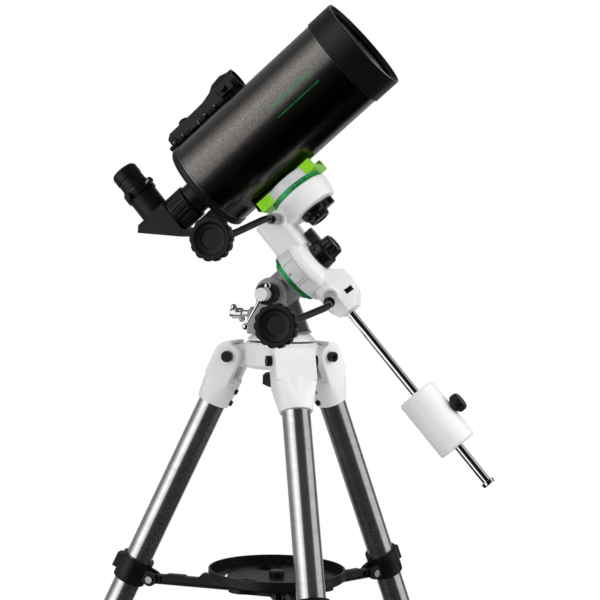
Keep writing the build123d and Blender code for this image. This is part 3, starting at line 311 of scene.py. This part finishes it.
def green_anodised():
    metal = Shader("green_anodised", (0.3, 0.8, 0.01), 0.3, metallic=0.35)
    metal.rounded(0.5)
    metal.vary("Base Color", 18, (0.27, 0.76, 0.008), (0.34, 0.86, 0.016))
    metal.vary("Roughness", 2, 0.26, 0.36)
    return metal.bump(0.8, 0.002)


def green_circle():
    metal = Shader("green_circle", (0.003, 0.33, 0.055), 0.3, metallic=0.5)
    metal.vary("Base Color", 12, (0.002, 0.28, 0.05), (0.006, 0.36, 0.075))
    metal.vary("Roughness", 3, 0.24, 0.36)
    return metal.bump(0.8, 0.002)


def bronze():
    metal = Shader("bronze", (0.6, 0.4, 0.16), 0.35, metallic=1.0)
    metal.vary("Base Color", 6, (0.52, 0.34, 0.13), (0.66, 0.46, 0.2))
    metal.vary("Roughness", 2, 0.28, 0.42)
    return metal.bump(0.5, 0.006)


def coated_glass():
    """Glass with a reddish antireflection coating."""
    glass = Shader("coated_glass", (0.7, 0.5, 0.47), 0.01, Transmission_Weight=1.0, IOR=1.7,
                   Specular_Tint=(1.0, 0.5, 0.42, 1.0))
    return glass.vary("Roughness", 30, 0.004, 0.012)


def mirror():
    metal = Shader("mirror", (0.9, 0.9, 0.9), 0.02, metallic=1.0)
    return metal.vary("Roughness", 25, 0.01, 0.03)


def line_paint(name, colour):
    """Printed or inlaid line."""
    paint = Shader(name, colour, 0.4)
    darker = tuple(0.88 * c for c in colour)
    paint.vary("Base Color", 3, darker, colour)
    return paint.vary("Roughness", 2, 0.35, 0.5)


MAKERS = (white_paint, grey_paint, tube_paint, black_metal, black_plastic, black_gloss_plastic,
          rubber, stainless, chrome, steel, satin_silver, machined_aluminium, green_anodised,
          green_circle, bronze, coated_glass, mirror)
MATERIALS = {maker.__name__: maker().material for maker in MAKERS}
MATERIALS["white_line"] = line_paint("white_line", (0.8, 0.8, 0.78)).material
MATERIALS["grey_line"] = line_paint("grey_line", (0.3, 0.3, 0.3)).material


def paint(obj, slot, where=None, space=WORLD):
    """Give faces a material: all of them, or those whose middle passes a test in a frame."""
    mesh = obj.data
    if where is None:
        mesh.materials.clear()
        mesh.materials.append(MATERIALS[slot])
        return
    mesh.materials.append(MATERIALS[slot])
    index = len(mesh.materials) - 1
    to_space = space.inverted()
    for face in mesh.polygons:
        x, y, z = (to_space @ face.center) / MM
        if where(x, y, z):
            face.material_index = index


for name, node in NODES.items():
    paint(node, SLOTS[name])

CLAMP = Matrix.Translation(HEAD.translation)

# altitude bolt: black collar, bright cap
paint(NODES["altitude_clamp"], "black_plastic",
      lambda x, y, z: -50.2 < y < -30 and hypot(x, z) < 12.8, CLAMP)
paint(NODES["altitude_clamp"], "satin_silver",
      lambda x, y, z: y < -49.9 and hypot(x, z) < 7.6, CLAMP)

# tick marks: the floors of the grooves in the rims of the setting circles and the index ring
paint(NODES["ra_setting_circle"], "white_line",
      lambda x, y, z: 25.9 < x < 30.3 and 30.7 < hypot(y, z) < 31.0, HEAD)
paint(NODES["dec_setting_circle"], "white_line",
      lambda x, y, z: 73 < z < 76.3 and 32.5 < hypot(x - DEC_A, y) < 32.8, HEAD)
paint(NODES["ra_index_ring"], "grey_line",
      lambda x, y, z: 35.8 < hypot(y, z) < 36.3 and 31.6 < x < 46.8, HEAD)

# bare metal edges of the two cells
paint(NODES["rear_cell"], "steel",
      lambda x, y, z: abs(x - 21) < 0.2 and hypot(y, z) > 55.4, TUBE)
paint(NODES["front_cell"], "steel",
      lambda x, y, z: x > 261.75 and hypot(y, z) > 57.95, TUBE)

# eyepiece: chrome barrel, field lens and eye lens; thumb screws of the diagonal
paint(NODES["eyepiece"], "chrome", lambda x, y, z: z < 55.3, TUBE)
for low, high in ((50.9, 55.5), (72.3, 76.5)):
    paint(NODES["eyepiece"], "coated_glass",
          lambda x, y, z: low < z < high and hypot(x - EYEPIECE_A, y) < LENS_RADIUS, TUBE)
paint(NODES["star_diagonal"], "chrome",
      lambda x, y, z: 44 < z < 56 and x > EYEPIECE_A + 10 and hypot(x - EYEPIECE_A, y) > 19.8, TUBE)

# finder: clamp on its rail, window
paint(NODES["finder_base"], "satin_silver",
      lambda x, y, z: 39.9 < x < 52.1 and -17.2 < y < -9.6 and (z > 68.3 or x > 51.9), FINDER)
paint(NODES["finder_body"], "coated_glass",
      lambda x, y, z: 107.9 < x < 110.1 and hypot(y, z - 84) < 11.3, FINDER)

for name in ("ra_worm", "dec_worm"):
    paint(NODES[name], "steel")
for number, space in LEGS.items():
    paint(NODES[f"lower_leg_{number}"], "rubber", lambda x, y, z: z < FOOT_TOP, space)
    paint(NODES[f"leg_fittings_{number}"], "steel",
          lambda x, y, z: abs(y) > 9.7 and hypot(x - PIN_X, z - PIN_Z) < PIN_HEAD, space)


# ---------------------------------------------------------------- meshes
def new_piece(name, mesh, body, slot=None, space=WORLD):
    """Object of a mesh that is given in a frame, riding on a body."""
    mesh.transform(space)
    piece = add(bpy.data.objects.new(name, mesh))
    if slot:
        mesh.materials.clear()
        mesh.materials.append(MATERIALS[slot])
    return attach(piece, body)


def settled(piece):
    """The mesh of an object with its modifiers applied."""
    bpy.context.view_layer.update()
    graph = bpy.context.evaluated_depsgraph_get()
    return bpy.data.meshes.new_from_object(piece.evaluated_get(graph))


def soften(name, node, space, voxel=0.8, passes=5, extras=()):
    """Cast or moulded version of a CAD node: its edges and inner corners are rounded.

    Extra closed meshes, given in the same space, become part of it.
    """
    source = NODES[node]
    mesh = source.data.copy()
    mesh.transform(space.inverted())
    together = bmesh.new()
    for part in (mesh, *extras):
        together.from_mesh(part)
    together.to_mesh(mesh)
    together.free()
    rough = add(bpy.data.objects.new("rough", mesh))
    weld = rough.modifiers.new("weld", "WELD")
    weld.merge_threshold = 1e-6
    remesh = rough.modifiers.new("remesh", "REMESH")
    remesh.mode = "VOXEL"
    remesh.voxel_size = voxel * MM
    smooth = rough.modifiers.new("smooth", "SMOOTH")
    smooth.factor = 0.5
    smooth.iterations = passes
    made = settled(rough)
    bpy.data.objects.remove(rough)
    made.name = name
    made.shade_smooth()
    piece = new_piece(name, made, source["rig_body"], SLOTS[node], space)
    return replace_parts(piece, node)


def solid_along_y(name, profile, low, high):
    """Closed mesh of an (x, z) outline in millimetres, drawn out along Y."""
    count = len(profile)
    mesh = bpy.data.meshes.new(name)
    corners = [Vector((x, y, z)) * MM for y in (low, high) for x, z in profile]
    ends = [tuple(range(count)), tuple(range(2 * count - 1, count - 1, -1))]
    sides = [(i, count + i, count + (i + 1) % count, (i + 1) % count) for i in range(count)]
    mesh.from_pydata(corners, [], ends + sides)
    return mesh


def bracket_front():
    """Front wall of a leg bracket: down from the hinge to the sleeve, in the leg's frame."""
    bends = [radians(degrees) for degrees in range(0, 79, 13)]
    inside = [(WALL_INSIDE * cos(a), WALL_INSIDE * sin(a)) for a in bends]
    outside = [(WALL_OUTSIDE * cos(a), WALL_OUTSIDE * sin(a)) for a in reversed(bends)]
    profile = [(WALL_INSIDE, WALL_END), *inside, *outside, (WALL_OUTSIDE, WALL_END)]
    return solid_along_y("bracket_front", profile, -HALF_CLEVIS, HALF_CLEVIS)


def bracket_taper():
    """Sleeve wall of a leg bracket, from the clevis's square outline to the round sleeve.

    Each ring has a height, half its size in X and in Y, and the power that rounds it off,
    from 0 for a square to 1 for an ellipse. They go down outside and come back up inside.
    """
    rings = ((-27, WALL_OUTSIDE, HALF_CLEVIS, 0.3), (-38, 18.6, 23.0, 0.5), (-49, 19.6, 21.0, 0.8),
             (-58, SLEEVE, SLEEVE, 1), (-58, SLEEVE_BORE, SLEEVE_BORE, 1), (-27, 14, SLEEVE_BORE, 1))
    count = 64
    corners = []
    for z, half_x, half_y, power in rings:
        for i in range(count):
            a = 2 * pi * (i + 0.5) / count
            x = copysign(half_x * abs(cos(a)) ** power, cos(a))
            y = copysign(half_y * abs(sin(a)) ** power, sin(a))
            corners.append(Vector((x, y, z)) * MM)
    faces = []
    for ring in range(len(rings)):
        this, following = ring * count, (ring + 1) % len(rings) * count
        for i in range(count):
            j = (i + 1) % count
            faces.append((this + i, this + j, following + j, following + i))
    mesh = bpy.data.meshes.new("bracket_taper")
    mesh.from_pydata(corners, [], faces)
    return mesh


for number, space in LEGS.items():
    soften(f"leg_casting_{number}", f"leg_bracket_{number}", space,
           extras=(bracket_front(), bracket_taper()))
soften("head_casting", "ra_housing", HEAD)
soften("tripod_casting", "tripod_hub", WORLD)
soften("fork_casting", "altitude_fork", WORLD)
soften("polar_casting", "polar_housing", HEAD)
soften("ra_clutch_moulding", "ra_clutch_lever", HEAD, voxel=0.5, passes=3)
soften("dec_clutch_moulding", "dec_clutch_lever", HEAD, voxel=0.5, passes=3)
soften("ra_knob_moulding", "ra_control_knob", HEAD, voxel=0.5, passes=3)
soften("dec_knob_moulding", "dec_control_knob", HEAD, voxel=0.5, passes=3)

# square hole in the housing's counterweight end: its inside and edge are painted black, painted
# shade in the hole
paint(bpy.data.objects["head_casting"], "black_plastic",
      lambda x, y, z: x > 66 and abs(y + 12) < 2.9 and abs(z + 53.2) < 3.0, HEAD)
# lower edge of the azimuth base, a dark gap: painted black, painted shade of the gap between it and
# the tripod hub
paint(NODES["azimuth_base"], "black_metal",
      lambda x, y, z: z < JOINTS["azimuth"]["pos_m"][2] / MM + 0.05)


# ---------------------------------------------------------------- lines and bright trim
def tube_line(name, up):
    """Thin green line along the near side of the tube, some degrees up from its middle."""
    middle, half, radius = radians(up), LINE_WIDTH / 2 / TUBE_RADIUS, TUBE_RADIUS + 0.06
    corners = [(x, -radius * cos(a), radius * sin(a))
               for x in LINE_SPAN for a in (middle - half, middle + half)]
    mesh = bpy.data.meshes.new(name)
    mesh.from_pydata([Vector(corner) * MM for corner in corners], [], [(0, 2, 3, 1)])
    new_piece(name, mesh, NODES["main_tube"]["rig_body"], "green_circle", TUBE)


def tube_trim(name, start, end, radius):
    """Thin bright band round the optical tube."""
    count = 160
    steps = [2 * pi * i / count for i in range(count)]
    corners = [(x, radius * cos(a), radius * sin(a)) for x in (start, end) for a in steps]
    faces = [(i, (i + 1) % count, count + (i + 1) % count, count + i) for i in range(count)]
    mesh = bpy.data.meshes.new(name)
    mesh.from_pydata([Vector(corner) * MM for corner in corners], [], faces)
    mesh.shade_smooth()
    new_piece(name, mesh, NODES["main_tube"]["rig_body"], "steel", TUBE)


def finder_glints():
    """Polished crowns of the screws along the finder's rail."""
    shape = bmesh.new()
    for x in RAIL_SCREWS:
        bmesh.ops.create_uvsphere(shape, u_segments=16, v_segments=8, radius=1.1 * MM,
                                  matrix=pos(x, -15.2, 67.4))
    mesh = bpy.data.meshes.new("finder_glints")
    shape.to_mesh(mesh)
    shape.free()
    mesh.shade_smooth()
    new_piece("finder_glints", mesh, NODES["finder_base"]["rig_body"], "chrome", FINDER)


tube_line("tube_line_upper", 2.4)
tube_line("tube_line_lower", -11.3)
tube_trim("rear_trim", 20.1, 20.8, 58.17)
tube_trim("front_trim", 229.6, 229.9, 58.55)
finder_glints()


# ---------------------------------------------------------------- studio
def angle(degrees):
    """Place on the ring of soft boxes, from 0 to 1; 0 degrees is the camera's side."""
    return 0.5 + degrees / 360


# What the object reflects: brightness round the horizon, then from straight down to straight up.
BOXES = ((0.0, 0.45), (angle(-150), 0.3), (angle(-106), 0.2), (angle(-84), 0.8),
         (angle(-63), 1.8), (angle(-48), 1.3), (angle(-34), 1.0), (angle(-28), 0.01),
         (angle(60), 0.01), (angle(64), 0.7), (angle(112), 0.7), (angle(117), 0.04),
         (angle(138), 0.05), (angle(152), 0.5), (1.0, 0.45))
HEIGHTS = ((0.0, 0.02), (0.2, 0.02), (0.27, 1.0), (0.84, 1.0), (0.9, 0.35), (1.0, 0.35))


def place_camera():
    yaw, pitch, roll = -0.295, -0.04, 0.0203
    forward = Vector((sin(yaw) * cos(pitch), cos(yaw) * cos(pitch), sin(pitch)))
    right = Vector((cos(yaw), -sin(yaw), 0))
    up = right.cross(forward)
    x_axis = right * cos(roll) + up * sin(roll)
    y_axis = up * cos(roll) - right * sin(roll)
    rotation = Matrix((x_axis, y_axis, -forward)).transposed().to_4x4()
    camera = add(bpy.data.objects.new("camera", bpy.data.cameras.new("camera")))
    camera.data.sensor_width = 36.0
    camera.data.lens = 96.8
    camera.data.clip_start = 0.05
    camera.data.clip_end = 60.0
    camera.matrix_world = Matrix.Translation(CAMERA_AT) @ rotation
    bpy.context.scene.camera = camera


def softbox(name, azimuth, elevation, distance, width, height, power):
    """Area light at an azimuth from the camera's side, positive to its right."""
    data = bpy.data.lights.new(name, "AREA")
    data.shape = "RECTANGLE"
    data.size, data.size_y = width, height
    data.energy = power
    lamp = bpy.data.objects.new(name, data)
    bearing, rise = radians(CAMERA_BEARING + azimuth), radians(elevation)
    direction = Vector((cos(bearing) * cos(rise), sin(bearing) * cos(rise), sin(rise)))
    lamp.location = TARGET + direction * distance
    lamp.rotation_euler = direction.to_track_quat("Z", "Y").to_euler()
    lamp.visible_glossy = False
    add(lamp)


def disc(name, radius):
    """Round floor under the tripod, too small to reach into the main picture."""
    mesh = bpy.data.meshes.new(name)
    steps = [2 * pi * i / 96 for i in range(96)]
    rim = [(TARGET.x + radius * cos(a), radius * sin(a), -0.5 * MM) for a in steps]
    mesh.from_pydata(rim, [], [list(range(96))])
    return add(bpy.data.objects.new(name, mesh))


def surroundings():
    """White behind the object; what it reflects is soft boxes and black flags round it."""
    world = bpy.data.worlds.new("studio")
    world.use_nodes = True
    world.cycles.sampling_method = "NONE"
    bpy.context.scene.world = world
    tree = world.node_tree

    def node(kind, **settings):
        made = tree.nodes.new(kind)
        for key, value in settings.items():
            setattr(made, key, value)
        return made

    place = node("ShaderNodeTexCoord")
    mapping = node("ShaderNodeMapping")
    mapping.inputs["Rotation"].default_value = (0, 0, radians(-CAMERA_BEARING))
    tree.links.new(place.outputs["Generated"], mapping.inputs["Vector"])
    split = node("ShaderNodeSeparateXYZ")
    tree.links.new(mapping.outputs["Vector"], split.inputs["Vector"])
    azimuth = node("ShaderNodeMath", operation="ARCTAN2")
    tree.links.new(split.outputs["Y"], azimuth.inputs[0])
    tree.links.new(split.outputs["X"], azimuth.inputs[1])
    share = node("ShaderNodeMapRange")
    share.inputs["From Min"].default_value = -pi
    share.inputs["From Max"].default_value = pi
    tree.links.new(azimuth.outputs["Value"], share.inputs["Value"])
    boxes = node("ShaderNodeValToRGB")
    grey_at(boxes.color_ramp, BOXES)
    tree.links.new(share.outputs["Result"], boxes.inputs["Fac"])
    height = node("ShaderNodeMapRange")
    height.inputs["From Min"].default_value = -1
    tree.links.new(split.outputs["Z"], height.inputs["Value"])
    over = node("ShaderNodeValToRGB")
    grey_at(over.color_ramp, HEIGHTS)
    tree.links.new(height.outputs["Result"], over.inputs["Fac"])
    reflected = node("ShaderNodeMix", data_type="RGBA", blend_type="MULTIPLY")
    reflected.inputs["Factor"].default_value = 1.0
    tree.links.new(boxes.outputs["Color"], reflected.inputs["A"])
    tree.links.new(over.outputs["Color"], reflected.inputs["B"])

    path = node("ShaderNodeLightPath")
    soft = node("ShaderNodeMix", data_type="RGBA")
    soft.inputs["A"].default_value = (0.42, 0.42, 0.42, 1)
    tree.links.new(path.outputs["Is Glossy Ray"], soft.inputs["Factor"])
    tree.links.new(reflected.outputs["Result"], soft.inputs["B"])
    white = node("ShaderNodeMix", data_type="RGBA")
    white.inputs["B"].default_value = (1, 1, 1, 1)
    tree.links.new(soft.outputs["Result"], white.inputs["A"])
    tree.links.new(path.outputs["Is Camera Ray"], white.inputs["Factor"])
    tree.links.new(white.outputs["Result"], tree.nodes["Background"].inputs["Color"])


def grey_at(ramp, steps):
    """Fill a colour ramp with (position, grey) steps."""
    for position, grey in steps[2:]:
        ramp.elements.new(position).color = (grey, grey, grey, 1)
    for element, (position, grey) in zip(ramp.elements, sorted(steps)):
        element.position = position
        element.color = (grey, grey, grey, 1)


def studio():
    """Camera, soft boxes, pale floor and surroundings."""
    place_camera()
    softbox("left_box", -60, 14, 2.2, 1.5, 2.0, 15)
    softbox("right_box", 66, 18, 2.2, 1.5, 2.0, 30)
    softbox("top_box", 20, 76, 2.2, 1.2, 1.2, 14)
    softbox("back_box", 180, 30, 2.6, 1.4, 1.4, 8)
    floor = disc("floor", FLOOR_RADIUS)
    floor.data.materials.append(line_paint("floor", (0.95, 0.95, 0.95)).material)
    floor.visible_glossy = False
    surroundings()
    bpy.context.scene.view_settings.view_transform = "Standard"


studio()
